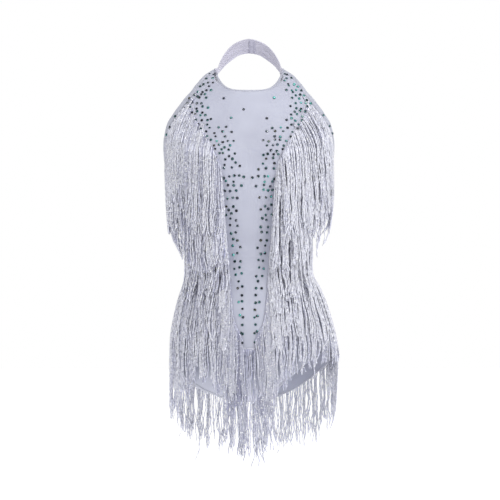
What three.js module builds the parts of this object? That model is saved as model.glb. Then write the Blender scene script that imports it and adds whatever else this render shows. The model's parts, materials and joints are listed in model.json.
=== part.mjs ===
// Halter-neck dance bodysuit with rows of hanging fringe, hollow as it is when worn.
// Millimetres, +Z up, the front faces -Y, and +X is the wearer's left.
// The origin is on the inner face of the neck band at the nape, where the garment hangs.
import * as THREE from "three";

// Cloth
const PANEL_CLOTH = 1.2; // wall of the front and back panels
const BAND_CLOTH = 2.0; // neck band, cloth folded double
const SEAM_GAP = 0.3; // between two pieces at a seam
const SIDE_SEAM_Y = -64; // plane of the side seams and the crotch seam
const PANEL_COLUMNS = 18; // facets across a panel
const TORSO_ROW = 24; // height of a facet between underarm and leg

// Neck band, a loop seen from above
const BAND_HALF_WIDTH = 62;
const BAND_DEPTH = 66; // from the side seam plane back to the outer face
const BAND_LEAN = 0.25; // the nape leans forward as it rises
const BAND_STEPS = 12;
const STRAP_GAP = 0.7; // from the strap's end, so that the thicker band clears it

// Fringe trim: a heading tape with locks of strands hanging from it
const TAPE_LIFT = 1.4; // clear of the panel's facets
const TAPE_THICK = 1.2;
const TAPE_HEIGHT = 8;
const LOCK_THICK = 2.2;
const LOCK_LIFT = 2.8; // from the cloth to the middle of a lock
const LOCK_SHARE = 0.62; // share of the spacing that a lock fills
const LAYER = 3.6; // how far a lock stands off each trim it passes over
const LAYER_RAMP = 26; // drop over which it moves out
const LAYER_CLEAR = 8; // it is out this far above the next tape
const LEVEL = 26; // locks bend at whole multiples of this height
const TIP_UNEVENNESS = 22; // spread of the strand ends
const DRAPE_STEP = 3;
const FAN = 0.6; // how far strands spread sideways where the body below them widens
const STRAIGHT = 0.05; // a lock this straight over three levels drops the middle one

// Two soft cups at the bust
const CUP = { reach: 13, x: 72, width: 42, z: -208, height: 46 };

const SIDE = Infinity; // an edge that lies on the side seam

// A short table with named columns.
function table(columns, rows) {
  return rows.map((row) => Object.fromEntries(columns.map((name, i) => [name, row[i]])));
}

// Horizontal sections of the worn body, from the neck down to the crotch seam. half is the
// half width, front and back the reach from the side seam plane, square the curve's power.
const SECTIONS = table(
  ["z", "half", "front", "back", "square"],
  [
    [-38, 50, 3, 58, 2.0],
    [-43, 64, 6, 60, 2.0],
    [-50, 84, 8, 64, 2.0],
    [-60, 108, 24, 68, 2.0],
    [-71, 118, 41, 72, 2.0],
    [-85, 134, 57, 76, 2.0],
    [-105, 152, 68, 82, 2.1],
    [-128, 164, 79, 88, 2.15],
    [-150, 168, 91, 93, 2.2],
    [-173, 168, 104, 96, 2.3],
    [-205, 164, 118, 97, 2.3],
    [-240, 157, 118, 94, 2.3],
    [-270, 150, 113, 90, 2.3],
    [-300, 141, 107, 85, 2.25],
    [-340, 127, 101, 78, 2.2],
    [-375, 116, 97, 73, 2.2],
    [-405, 112, 96, 71, 2.2],
    [-430, 115, 98, 73, 2.2],
    [-460, 127, 102, 80, 2.2],
    [-500, 139, 104, 96, 2.2],
    [-545, 150, 102, 110, 2.2],
    [-575, 152, 98, 114, 2.2],
    [-600, 151, 92, 111, 2.15],
    [-620, 144, 83, 100, 2.1],
    [-640, 124, 66, 74, 2.0],
    [-655, 90, 44, 46, 2.0],
    [-664, 60, 22, 22, 2.0],
    [-668, 42, 0.4, 0.4, 2.0],
  ],
);

// Rows across each panel, top to bottom: the height at the centre line, where the row's end
// lies (x and z), and rise, the power by which the row climbs from its centre to its end.
const FRONT_TOP = table(
  ["centreZ", "edgeX", "edgeZ", "rise"],
  [
    [-85, 60, -53, 4.0], // neckline, up to the strap
    [-89, 63, -43.5, 5.0], // end of the strap, where the neck band is sewn
    [-97, 75, -50, 3.4], // armhole edge
    [-108, 88, -61, 2.8],
    [-121, 98, -73, 2.4],
    [-134, 107, -86, 2.2],
    [-148, 124, -106, 2],
    [-162, 140, -128, 2],
    [-178, 153, -150, 2],
    [-196, 158, -173, 2],
    [-216, 159, -200, 2],
    [-241, 155.5, -235, 2],
    [-270, SIDE, -268, 2], // underarm
  ],
);
const FRONT_LEG = table(
  ["centreZ", "edgeX", "edgeZ", "rise", "rightX", "rightZ"], // the right leg edge hangs lower
  [
    [-562, SIDE, -562, 2, SIDE, -562], // top of the leg opening
    [-582, 141, -571, 2, 146, -584],
    [-599, 122, -585, 2, 133, -606],
    [-615, 100, -600, 2, 114, -628],
    [-631, 81, -617, 2, 92, -644],
    [-645, 62, -634, 2, 70, -653],
    [-656, 47, -650, 2, 53, -660],
    [-664, 39, -662, 2, 42, -665],
    [-668, 38, -668, 2, 38, -668], // crotch seam
  ],
);
const BACK_TOP = table(
  ["centreZ", "edgeX", "edgeZ", "rise"],
  [
    [-385, SIDE, -268, 2.2], // scooped top edge, from underarm to underarm
    [-392, SIDE, -286, 2.1],
    [-401, SIDE, -306, 2],
    [-412, SIDE, -330, 2],
    [-425, SIDE, -356, 2],
    [-441, SIDE, -384, 2],
    [-459, SIDE, -412, 2],
    [-478, SIDE, -440, 2],
  ],
);
const BACK_LEG = table(
  ["centreZ", "edgeX", "edgeZ", "rise"],
  [
    [-568, SIDE, -562, 2],
    [-588, 150.5, -580, 2],
    [-606, 148, -597, 2],
    [-621, 134, -611, 2],
    [-634, 117, -626, 2],
    [-645, 97, -640, 2],
    [-654, 76, -651, 2],
    [-661, 53, -660, 2],
    [-665.5, 41, -665, 2],
    [-668, 38, -668, 2],
  ],
);

// Lower and upper edge of the neck band round the side and the nape. 180 degrees is the nape.
const BAND = table(
  ["angle", "bottom", "top"],
  [
    [94, -51, -39],
    [108, -46, -30],
    [127, -35, -14],
    [145, -24, 1],
    [163, -16.5, 10],
    [180, -14, 14],
  ],
);

// Trims on each half of the front, top to bottom. Each lies along three points of its tape's
// lower edge, from the plain centre panel outwards, and its strands end at three heights.
const FRONT_TRIMS = table(
  ["name", "x", "z", "tips", "locks", "rightTips"],
  [
    ["shoulder", [98, 127, 150], [-98, -130, -178], [-296, -330, -352], 10],
    ["upper_bust", [83, 119, 152], [-155, -185, -224], [-340, -362, -362], 11],
    ["bust", [55, 106, 149], [-222, -231, -248], [-404, -410, -366], 14],
    ["underbust", [45, 85, 116], [-292, -299, -306], [-474, -476, -470], 13],
    ["waist", [41, 85, SIDE], [-372, -378, -385], [-548, -552, -556], 13],
    ["hip", [34, 90, SIDE], [-456, -462, -469], [-652, -604, -570], 14, [-652, -598, -664]],
  ],
);
const CENTRE_TRIM = { halfWidth: 44, endZ: -556, midZ: -573, endTip: -758, midTip: -778, locks: 8 };

// Trims round the back, from side seam to side seam.
const BACK_TRIMS = table(
  ["name", "fromSide", "endZ", "midZ", "endTip", "midTip", "locks"],
  [
    ["back_waist", 3, -452, -468, -590, -620, 30],
    ["seat", 3, -546, -600, -704, -766, 38],
  ],
);

const COLOURS = {
  cloth: { color: 0xcbcddf, roughness: 0.62, metalness: 0 },
  fringe: { color: 0xd3d3de, roughness: 0.42, metalness: 0.25 },
};

const rad = THREE.MathUtils.degToRad;
const { clamp } = THREE.MathUtils;

// Smooth curve through the values of one column, with no overshoot between rows.
function curveThrough(at, values) {
  const slopes = values.map((_, i) => {
    if (i === 0 || i === values.length - 1) return 0;
    const before = (values[i] - values[i - 1]) / (at[i] - at[i - 1]);
    const after = (values[i + 1] - values[i]) / (at[i + 1] - at[i]);
    return before * after <= 0 ? 0 : (2 * before * after) / (before + after);
  });
  return (position) => {
    const p = clamp(position, Math.min(at[0], at.at(-1)), Math.max(at[0], at.at(-1)));
    let i = 0;
    while (i < at.length - 2 && (at[i + 1] - p) * (at[1] - at[0]) < 0) i += 1;
    const step = at[i + 1] - at[i];
    const t = (p - at[i]) / step;
    const h = t * t * (3 - 2 * t);
    const bend = t * (1 - t) * step * ((1 - t) * slopes[i] - t * slopes[i + 1]);
    return values[i] * (1 - h) + values[i + 1] * h + bend;
  };
}

const columnOf = (rows, name) => rows.map((row) => row[name]);
const sectionCurve = (name) => curveThrough(columnOf(SECTIONS, "z"), columnOf(SECTIONS, name));
const [halfAt, frontAt, backAt, squareAt] = ["half", "front", "back", "square"].map(sectionCurve);

function cupReach(x, z) {
  const across = (Math.abs(x) - CUP.x) / CUP.width;
  const up = (z - CUP.z) / CUP.height;
  return CUP.reach * Math.exp(-across * across - up * up);
}

// Point of the worn surface. angle is 0 at the centre front, 90 at the side seam and 180 at
// the centre back, positive towards the wearer's left.
function bodyPoint(angle, z) {
  const power = 2 / squareAt(z);
  const [sine, cosine] = [Math.sin(rad(angle)), Math.cos(rad(angle))];
  const x = halfAt(z) * Math.sign(sine) * Math.abs(sine) ** power;
  const depth = cosine > 0 ? frontAt(z) + cupReach(x, z) : backAt(z);
  return new THREE.Vector3(x, SIDE_SEAM_Y - depth * Math.sign(cosine) * Math.abs(cosine) ** power, z);
}

function bodyNormal(angle, z) {
  const along = bodyPoint(angle + 0.5, z).sub(bodyPoint(angle - 0.5, z));
  const down = bodyPoint(angle, z - 1).sub(bodyPoint(angle, z + 1));
  return down.cross(along).normalize();
}

// Angle at which the section at z has half width x; SIDE is half a seam gap short of the seam.
function angleOf(x, z, depthAt) {
  if (x === SIDE) return 90 - THREE.MathUtils.radToDeg((SEAM_GAP / 2 / depthAt(z)) ** (squareAt(z) / 2));
  return THREE.MathUtils.radToDeg(Math.asin((x / halfAt(z)) ** (squareAt(z) / 2)));
}

// Value at share 0 to 1 of a curve through three evenly spaced values.
function through([first, middle, last], share) {
  const bow = middle - (first + last) / 2;
  return first + (last - first) * share + bow * 4 * share * (1 - share);
}

function torsoRows(from, to) {
  const count = Math.ceil((from.edgeZ - to.edgeZ) / TORSO_ROW);
  return Array.from({ length: count - 1 }, (_, i) => {
    const share = (i + 1) / count;
    return {
      centreZ: from.centreZ + (to.centreZ - from.centreZ) * share,
      edgeX: SIDE,
      edgeZ: from.edgeZ + (to.edgeZ - from.edgeZ) * share,
      rise: 2,
    };
  });
}

// Outer points of a panel, one list for each row across it. A point of the front keeps the x
// that it would have at the height of the row's end, so the neckline is an even curve.
function panelPoints(rows, behind) {
  const depthAt = behind ? backAt : frontAt;
  return rows.map((row) => {
    const { centreZ, edgeX, edgeZ, rise, rightX = edgeX, rightZ = edgeZ } = row;
    const ends = [[rightX, rightZ], [edgeX, edgeZ]].map(([x, z]) => ({ angle: angleOf(x, z, depthAt), z }));
    return Array.from({ length: PANEL_COLUMNS + 1 }, (_, j) => {
      const across = (2 * j) / PANEL_COLUMNS - 1;
      const end = ends[across < 0 ? 0 : 1];
      const z = centreZ + (end.z - centreZ) * Math.abs(across) ** rise;
      if (behind) return bodyPoint(180 + end.angle * across, z);
      const { x } = bodyPoint(end.angle * Math.abs(across), end.z);
      return bodyPoint(Math.sign(across) * angleOf(x, z, depthAt), z);
    });
  });
}

function solidFrom(points, triangles) {
  const geometry = new THREE.BufferGeometry();
  const numbers = points.flatMap((point) => point.toArray());
  geometry.setAttribute("position", new THREE.Float32BufferAttribute(numbers, 3));
  geometry.setIndex(triangles);
  geometry.computeVertexNormals();
  return geometry;
}

// A wall whose outer face is a grid of points and whose inner face lies thickness behind it.
// Its outer face looks along (next row) x (next column). settle moves an inner point.
function wallFrom(grid, thickness, settle = (point) => point) {
  const [rows, columns] = [grid.length, grid[0].length];
  const pointAt = (i, j) => grid[clamp(i, 0, rows - 1)][clamp(j, 0, columns - 1)];
  const inner = grid.map((row, i) =>
    row.map((point, j) => {
      const along = pointAt(i, j + 1).clone().sub(pointAt(i, j - 1));
      const down = pointAt(i + 1, j).clone().sub(pointAt(i - 1, j));
      return settle(point.clone().addScaledVector(down.cross(along).normalize(), -thickness));
    }),
  );
  const outerIndex = (i, j) => i * columns + j;
  const innerIndex = (i, j) => rows * columns + i * columns + j;
  const triangles = [];
  const quad = (a, b, c, d) => triangles.push(a, b, c, a, c, d);
  for (let i = 0; i < rows - 1; i += 1) {
    for (let j = 0; j < columns - 1; j += 1) {
      quad(outerIndex(i, j), outerIndex(i + 1, j), outerIndex(i + 1, j + 1), outerIndex(i, j + 1));
      quad(innerIndex(i, j), innerIndex(i, j + 1), innerIndex(i + 1, j + 1), innerIndex(i + 1, j));
    }
    const last = columns - 1;
    quad(outerIndex(i, 0), innerIndex(i, 0), innerIndex(i + 1, 0), outerIndex(i + 1, 0));
    quad(outerIndex(i, last), outerIndex(i + 1, last), innerIndex(i + 1, last), innerIndex(i, last));
  }
  for (let j = 0; j < columns - 1; j += 1) {
    const last = rows - 1;
    quad(outerIndex(0, j), outerIndex(0, j + 1), innerIndex(0, j + 1), innerIndex(0, j));
    quad(outerIndex(last, j), innerIndex(last, j), innerIndex(last, j + 1), outerIndex(last, j + 1));
  }
  return solidFrom([...grid.flat(), ...inner.flat()], triangles);
}

// One half of the neck band, from the strap's end round to the seam at the nape. strap holds
// the strap end's lower and upper corner.
function neckBand(side, strap) {
  const angles = columnOf(BAND, "angle");
  const [bottomAt, topAt] = ["bottom", "top"].map((name) => curveThrough(angles, columnOf(BAND, name)));
  const [first, last] = [angles[0], angles.at(-1)];
  const bandPoint = (angle, z) => {
    const lean = -BAND_LEAN * z * Math.cos(rad(angle));
    const x = Math.max(BAND_HALF_WIDTH * Math.sin(rad(angle)), SEAM_GAP / 2);
    const y = SIDE_SEAM_Y - BAND_DEPTH * Math.cos(rad(angle)) - lean;
    return new THREE.Vector3(side * x, y, z);
  };
  const stations = Array.from({ length: BAND_STEPS + 1 }, (_, i) => {
    const angle = first + ((last - first) * i) / BAND_STEPS;
    return [bandPoint(angle, topAt(angle)), bandPoint(angle, bottomAt(angle))];
  });
  const sewn = [strap[1], strap[0]].map((corner, i) => {
    const towards = stations[0][i].clone().sub(corner).normalize();
    return corner.clone().addScaledVector(towards, STRAP_GAP);
  });
  const grid = [sewn, ...stations];
  return wallFrom(side > 0 ? grid.map((station) => [...station].reverse()) : grid, BAND_CLOTH);
}

// How far a point lies outside the section at its height, grown by lift: negative inside,
// with its slope in x and y.
function outside(x, y, z, lift) {
  const power = squareAt(z);
  const depth = (y < SIDE_SEAM_Y ? frontAt(z) + cupReach(x, z) : backAt(z)) + lift;
  const half = halfAt(z) + lift;
  const [u, v] = [x / half, (y - SIDE_SEAM_Y) / depth];
  return {
    excess: Math.abs(u) ** power + Math.abs(v) ** power - 1,
    slope: new THREE.Vector2(
      (power * Math.sign(u) * Math.abs(u) ** (power - 1)) / half,
      (power * Math.sign(v) * Math.abs(v) ** (power - 1)) / depth,
    ),
  };
}

// Moves a point of a section outwards until it is lift clear of the body.
function pushedOut(x, y, z, lift) {
  let [px, py] = [x, y];
  for (let tries = 0; tries < 12; tries += 1) {
    const { excess, slope } = outside(px, py, z, lift);
    if (excess >= -1e-4) break;
    px -= (excess * slope.x) / slope.lengthSq();
    py -= (excess * slope.y) / slope.lengthSq();
  }
  return [px, py];
}

// Path of a hanging lock from its root to its tip: it slides down the body where the body
// widens and drops straight where the body falls away. It keeps only the levels where it bends.
function hangingPath(root, tipZ, liftAt) {
  const path = [root.clone()];
  let [x, y, z] = root.toArray();
  while (z > tipZ + 0.01) {
    const nextLevel = Math.ceil(z / LEVEL - 1) * LEVEL;
    const halfAbove = halfAt(z);
    z = Math.max(z - DRAPE_STEP, tipZ, nextLevel);
    x *= Math.max(halfAt(z) / halfAbove, 1) ** FAN;
    [x, y] = pushedOut(x, y, z, liftAt(x, z));
    const atLevel = z === nextLevel && root.z - z > LEVEL / 3 && z - tipZ > LEVEL / 3;
    if (atLevel || z <= tipZ + 0.01) path.push(new THREE.Vector3(x, y, z));
  }
  const bends = (before, point, after) => {
    const share = (before.z - point.z) / (before.z - after.z);
    return before.clone().lerp(after, share).distanceTo(point) > STRAIGHT;
  };
  const kept = [path[0], path[1]];
  for (let i = 2; i < path.length; i += 1) {
    if (kept.length > 2 && !bends(kept.at(-2), kept.at(-1), path[i])) kept.pop();
    kept.push(path[i]);
  }
  return kept;
}

// Even spread from -0.5 to 0.5 that is the same on every run.
function unevenness(seed) {
  const wave = Math.sin(seed * 12.9898 + 4.1414) * 43758.5453;
  return wave - Math.floor(wave) - 0.5;
}

// A heading tape with locks hanging from every second cell of its lower edge, as one solid.
// angleAt and zAt give the lower edge at share 0 to 1, tipAt where the strands there end.
function fringe({ locks, angleAt, zAt, tipAt, liftAt, seed }) {
  const cells = 2 * locks + 1;
  const starts = [0];
  for (let cell = 0; cell < cells; cell += 1) {
    starts.push(starts.at(-1) + (cell % 2 ? LOCK_SHARE : 1 - LOCK_SHARE));
  }
  const shares = starts.map((start) => start / starts.at(-1));
  const points = [];
  const triangles = [];
  const quad = (a, b, c, d) => triangles.push(a, b, c, a, c, d);
  const add = (point) => points.push(point) - 1;
  const stations = shares.map((share) => {
    const [angle, z] = [angleAt(share), zAt(share)];
    const lower = bodyPoint(angle, z);
    const outward = bodyNormal(angle, z);
    const ahead = bodyPoint(angleAt(share + 0.01), zAt(share + 0.01));
    const behind = bodyPoint(angleAt(share - 0.01), zAt(share - 0.01));
    const up = outward.clone().cross(ahead.sub(behind)).normalize();
    if (up.z < 0) up.negate();
    const upper = lower.clone().addScaledVector(up, TAPE_HEIGHT);
    const at = (base, lift) => add(base.clone().addScaledVector(outward, lift));
    return {
      innerTop: at(upper, TAPE_LIFT),
      outerTop: at(upper, TAPE_LIFT + TAPE_THICK),
      outerLow: at(lower, TAPE_LIFT + TAPE_THICK),
      innerLow: at(lower, TAPE_LIFT),
    };
  });
  const corners = ({ innerTop, outerTop, outerLow, innerLow }) => [innerTop, outerTop, outerLow, innerLow];
  quad(...corners(stations[0]).reverse());
  quad(...corners(stations.at(-1)));
  for (let cell = 0; cell < cells; cell += 1) {
    const [here, next] = [stations[cell], stations[cell + 1]];
    quad(here.innerTop, here.outerTop, next.outerTop, next.innerTop);
    quad(here.outerTop, here.outerLow, next.outerLow, next.outerTop);
    quad(here.innerLow, here.innerTop, next.innerTop, next.innerLow);
    if (cell % 2 === 0) {
      quad(here.outerLow, here.innerLow, next.innerLow, next.outerLow);
      continue;
    }
    let ring = [here.outerLow, here.innerLow, next.innerLow, next.outerLow];
    const root = new THREE.Vector3();
    ring.forEach((index) => root.addScaledVector(points[index], 0.25));
    const width = points[next.outerLow].clone().sub(points[here.outerLow]).setZ(0).length();
    const share = (shares[cell] + shares[cell + 1]) / 2;
    const tipZ = tipAt(share) + TIP_UNEVENNESS * unevenness(seed + cell);
    const path = hangingPath(root, tipZ, liftAt);
    path.slice(1, -1).forEach((centre) => {
      const { slope } = outside(centre.x, centre.y, centre.z, 0);
      const outward = new THREE.Vector3(slope.x, slope.y, 0).normalize();
      const across = new THREE.Vector3(-outward.y, outward.x, 0);
      const corner = (a, b) => {
        const aside = centre.clone().addScaledVector(across, (a * width) / 2);
        return add(aside.addScaledVector(outward, (b * LOCK_THICK) / 2));
      };
      const below = [corner(-1, 1), corner(-1, -1), corner(1, -1), corner(1, 1)];
      ring.forEach((index, k) => quad(index, ring[(k + 1) % 4], below[(k + 1) % 4], below[k]));
      ring = below;
    });
    const tip = add(path.at(-1));
    ring.forEach((index, k) => triangles.push(index, ring[(k + 1) % 4], tip));
  }
  return solidFrom(points, triangles);
}

// Lift of a lock at height z that passes over tapes with their lower edges at these heights.
function layered(z, tapes) {
  const passed = tapes.map((tapeZ) => {
    const start = tapeZ + TAPE_HEIGHT + LAYER_CLEAR + LAYER_RAMP;
    return clamp((start - z) / LAYER_RAMP, 0, 1);
  });
  return LOCK_LIFT + LAYER * passed.reduce((sum, share) => sum + share, 0);
}

// Height of a front trim's lower edge at half width x.
function trimZ(trim, x) {
  const outerX = Math.min(trim.x[2], halfAt(trim.z[2]));
  return through(trim.z, clamp((x - trim.x[0]) / (outerX - trim.x[0]), 0, 1));
}

function frontFringe(trim, order, side) {
  const lowerTrims = FRONT_TRIMS.slice(order + 1);
  const angles = trim.x.map((x, i) => angleOf(x, trim.z[i], frontAt));
  const tips = (side < 0 && trim.rightTips) || trim.tips;
  return fringe({
    locks: trim.locks,
    angleAt: (share) => side * through(angles, side > 0 ? share : 1 - share),
    zAt: (share) => through(trim.z, side > 0 ? share : 1 - share),
    tipAt: (share) => through(tips, side > 0 ? share : 1 - share),
    liftAt: (x, z) => layered(z, lowerTrims.map((lower) => trimZ(lower, Math.abs(x)))),
    seed: 100 * order + 10 * side,
  });
}

function centreFringe() {
  const { halfWidth, endZ, midZ, endTip, midTip, locks } = CENTRE_TRIM;
  const end = angleOf(halfWidth, endZ, frontAt);
  return fringe({
    locks,
    angleAt: (share) => end * (2 * share - 1),
    zAt: (share) => through([endZ, midZ, endZ], share),
    tipAt: (share) => through([endTip, midTip, endTip], share),
    liftAt: () => LOCK_LIFT,
    seed: 700,
  });
}

function backFringe(trim, order) {
  const first = 90 + trim.fromSide;
  const below = BACK_TRIMS.slice(order + 1);
  const heightAt = ({ endZ, midZ }, share) => through([endZ, midZ, endZ], share);
  return fringe({
    locks: trim.locks,
    angleAt: (share) => first + (360 - 2 * first) * share,
    zAt: (share) => heightAt(trim, share),
    tipAt: (share) => through([trim.endTip, trim.midTip, trim.endTip], share),
    liftAt: (x, z) => layered(z, below.map((lower) => heightAt(lower, 0.5 - x / 2 / halfAt(lower.midZ)))),
    seed: 800 + 100 * order,
  });
}

const bodysuit = new THREE.Group();

function addPiece(name, geometry, look) {
  const mesh = new THREE.Mesh(geometry, new THREE.MeshStandardMaterial(look));
  mesh.name = name;
  bodysuit.add(mesh);
}

const frontRows = [...FRONT_TOP, ...torsoRows(FRONT_TOP.at(-1), FRONT_LEG[0]), ...FRONT_LEG];
const backRows = [...BACK_TOP, ...torsoRows(BACK_TOP.at(-1), BACK_LEG[0]), ...BACK_LEG];
const frontGrid = panelPoints(frontRows, false);
const backGrid = panelPoints(backRows, true);
const beforeSeam = (point) => point.setY(Math.min(point.y, SIDE_SEAM_Y - SEAM_GAP / 2));
const behindSeam = (point) => point.setY(Math.max(point.y, SIDE_SEAM_Y + SEAM_GAP / 2));
addPiece("front_panel", wallFrom(frontGrid, PANEL_CLOTH, beforeSeam), COLOURS.cloth);
addPiece("back_panel", wallFrom(backGrid, PANEL_CLOTH, behindSeam), COLOURS.cloth);

const SIDES = { left: 1, right: -1 };
for (const [sideName, side] of Object.entries(SIDES)) {
  const strap = [frontGrid[0], frontGrid[1]].map((row) => (side > 0 ? row.at(-1) : row[0]));
  addPiece(`neck_band_${sideName}`, neckBand(side, strap), COLOURS.cloth);
  FRONT_TRIMS.forEach((trim, order) => {
    addPiece(`fringe_${trim.name}_${sideName}`, frontFringe(trim, order, side), COLOURS.fringe);
  });
}
addPiece("fringe_centre", centreFringe(), COLOURS.fringe);
BACK_TRIMS.forEach((trim, order) => {
  addPiece(`fringe_${trim.name}`, backFringe(trim, order), COLOURS.fringe);
});

export default bodysuit;
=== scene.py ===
import json

import bmesh
import bpy
import numpy as np
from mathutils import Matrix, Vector

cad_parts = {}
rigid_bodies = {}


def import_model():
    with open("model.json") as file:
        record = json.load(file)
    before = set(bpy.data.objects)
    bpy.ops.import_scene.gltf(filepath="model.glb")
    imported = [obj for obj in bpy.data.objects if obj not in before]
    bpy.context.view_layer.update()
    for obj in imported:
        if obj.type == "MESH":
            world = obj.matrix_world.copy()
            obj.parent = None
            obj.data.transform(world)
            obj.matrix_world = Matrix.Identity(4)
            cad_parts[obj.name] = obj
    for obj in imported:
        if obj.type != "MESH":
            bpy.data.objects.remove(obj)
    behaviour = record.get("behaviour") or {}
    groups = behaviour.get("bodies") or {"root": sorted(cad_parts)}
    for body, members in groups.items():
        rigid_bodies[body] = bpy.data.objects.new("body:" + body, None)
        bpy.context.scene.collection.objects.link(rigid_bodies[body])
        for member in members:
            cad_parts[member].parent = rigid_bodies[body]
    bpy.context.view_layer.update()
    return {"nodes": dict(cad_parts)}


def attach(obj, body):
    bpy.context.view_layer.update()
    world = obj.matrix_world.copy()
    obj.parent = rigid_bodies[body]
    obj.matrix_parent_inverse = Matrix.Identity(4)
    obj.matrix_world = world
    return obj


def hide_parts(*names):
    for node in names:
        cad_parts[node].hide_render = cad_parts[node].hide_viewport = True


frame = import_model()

MM = 0.001  # sizes below are in millimetres, as on a paper pattern

# Worn form ---------------------------------------------------------------------------------
# The bodysuit is stretch cloth cut to lie close to the body, so every piece is set out on one
# smooth form: a stack of rounded ovals from the neck to the crotch, with two soft bust cups.
SIDE_SEAM_Y = -64.0
FORM_OVALS = (  # height, half width, reach to the front, reach to the back, squareness
    (-38, 50, 3, 58, 2.0),
    (-43, 64, 6, 60, 2.0),
    (-50, 84, 8, 64, 2.0),
    (-60, 108, 24, 68, 2.0),
    (-71, 118, 41, 72, 2.0),
    (-85, 134, 57, 76, 2.0),
    (-105, 152, 68, 82, 2.1),
    (-128, 164, 79, 88, 2.15),
    (-150, 168, 91, 93, 2.2),
    (-173, 168, 104, 96, 2.3),
    (-205, 164, 118, 97, 2.3),
    (-240, 157, 118, 94, 2.3),
    (-270, 150, 113, 90, 2.3),
    (-300, 141, 107, 85, 2.25),
    (-340, 127, 101, 78, 2.2),
    (-375, 116, 97, 73, 2.2),
    (-405, 112, 96, 71, 2.2),
    (-430, 115, 98, 73, 2.2),
    (-460, 127, 102, 80, 2.2),
    (-500, 139, 104, 96, 2.2),
    (-545, 150, 102, 110, 2.2),
    (-575, 152, 98, 114, 2.2),
    (-600, 151, 92, 111, 2.15),
    (-620, 144, 83, 100, 2.1),
    (-640, 124, 66, 74, 2.0),
    (-655, 90, 44, 46, 2.0),
    (-664, 60, 22, 22, 2.0),
    (-668, 42, 0.4, 0.4, 2.0),
)
CUP_REACH, CUP_X, CUP_WIDTH, CUP_Z, CUP_HEIGHT = 13, 72, 42, -208, 46


def smooth_curve(at, values):
    """A smooth curve through the values, which doesn't overshoot between them."""
    order = np.argsort(at)
    at, values = np.array(at, float)[order], np.array(values, float)[order]
    rise = np.diff(values) / np.diff(at)
    slopes = np.zeros(len(at))
    both = rise[:-1] * rise[1:]
    total = np.where(both > 0, rise[:-1] + rise[1:], 1)
    slopes[1:-1] = np.where(both > 0, 2 * both / total, 0)

    def curve(position):
        place = np.clip(position, at[0], at[-1])
        i = np.clip(np.searchsorted(at, place, side="right") - 1, 0, len(at) - 2)
        step = at[i + 1] - at[i]
        t = (place - at[i]) / step
        h = t * t * (3 - 2 * t)
        bend = t * (1 - t) * step * ((1 - t) * slopes[i] - t * slopes[i + 1])
        return values[i] * (1 - h) + values[i + 1] * h + bend

    return curve


form_columns = np.array(FORM_OVALS, float).T
half_at, front_at, back_at, square_at = (
    smooth_curve(form_columns[0], column) for column in form_columns[1:]
)


def cup_reach(x, z):
    across = (np.abs(x) - CUP_X) / CUP_WIDTH
    up = (z - CUP_Z) / CUP_HEIGHT
    return CUP_REACH * np.exp(-across * across - up * up)


def form_point(angle, z):
    """Points of the form. The angle is 0 at the centre front, 90 at the left side seam."""
    turn = np.radians(angle)
    power = 2 / square_at(z)
    x = half_at(z) * np.sign(np.sin(turn)) * np.abs(np.sin(turn)) ** power
    reach = np.where(np.cos(turn) > 0, front_at(z) + cup_reach(x, z), back_at(z))
    y = SIDE_SEAM_Y - reach * np.sign(np.cos(turn)) * np.abs(np.cos(turn)) ** power
    return np.stack([x, y, z + 0 * x], axis=-1)


def form_angle(x, z):
    """Angle, in front, at which the form is x from the centre line at height z."""
    share = np.clip(np.abs(x) / half_at(z), 0, 1)
    return np.sign(x) * np.degrees(np.arcsin(share ** (square_at(z) / 2)))


def form_outside(x, y, z, lift):
    """How far points lie outside the form grown by lift, below 0 inside, and the slope there."""
    power = square_at(z)
    reach = np.where(y < SIDE_SEAM_Y, front_at(z) + cup_reach(x, z), back_at(z)) + lift
    half = half_at(z) + lift
    u, v = x / half, (y - SIDE_SEAM_Y) / reach
    slope = np.stack(
        [
            power * np.sign(u) * np.abs(u) ** (power - 1) / half,
            power * np.sign(v) * np.abs(v) ** (power - 1) / reach,
        ],
        axis=-1,
    )
    return np.abs(u) ** power + np.abs(v) ** power - 1, slope


# Stretch cloth -----------------------------------------------------------------------------
# Both panels and the neck band are one pale lavender white two-way stretch knit with a faint
# satin sheen. Its fine ribs run down each piece, so the material reads the piece's own UV map.
CLOTH_COLOUR = (0.414, 0.427, 0.502)
CLOTH_SHADE = (0.372, 0.382, 0.456)
RIBS_PER_METRE = 1100


def set_values(node, values):
    for socket, value in values.items():
        node.inputs[socket].default_value = value


def new_material(name, roughness, colour=(0.8, 0.8, 0.8)):
    material = bpy.data.materials.new(name)
    material.use_nodes = True
    shader = material.node_tree.nodes["Principled BSDF"]
    set_values(shader, {"Base Color": (*colour, 1), "Roughness": roughness})
    return material, material.node_tree.nodes, material.node_tree.links, shader


def add_node(nodes, kind, values=None, **settings):
    """A shader node with its settings, and then the values of its sockets."""
    node = nodes.new(f"ShaderNode{kind}")
    for setting, choice in settings.items():
        setattr(node, setting, choice)
    set_values(node, values or {})
    return node


cloth_material, nodes, links, shader = new_material("stretch cloth", 0.58)
cloth_finish = {
    "Sheen Weight": 0.25,
    "Sheen Roughness": 0.4,
    "Specular IOR Level": 0.35,
    "Subsurface Weight": 0.3,  # thin enough for light to pass
    "Subsurface Radius": (1.0, 1.0, 1.1),
    "Subsurface Scale": 0.0025,
}
set_values(shader, cloth_finish)
uv = add_node(nodes, "UVMap")
place = add_node(nodes, "TexCoord")
cloud = add_node(nodes, "TexNoise", {"Scale": 14, "Detail": 4})
links.new(place.outputs["Object"], cloud.inputs["Vector"])
tint = add_node(nodes, "Mix", {"A": (*CLOTH_SHADE, 1), "B": (*CLOTH_COLOUR, 1)}, data_type="RGBA")
contrast = add_node(nodes, "MapRange", {"From Min": 0.3, "From Max": 0.62})
links.new(cloud.outputs["Fac"], contrast.inputs["Value"])
links.new(contrast.outputs["Result"], tint.inputs["Factor"])
links.new(tint.outputs["Result"], shader.inputs["Base Color"])
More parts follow.
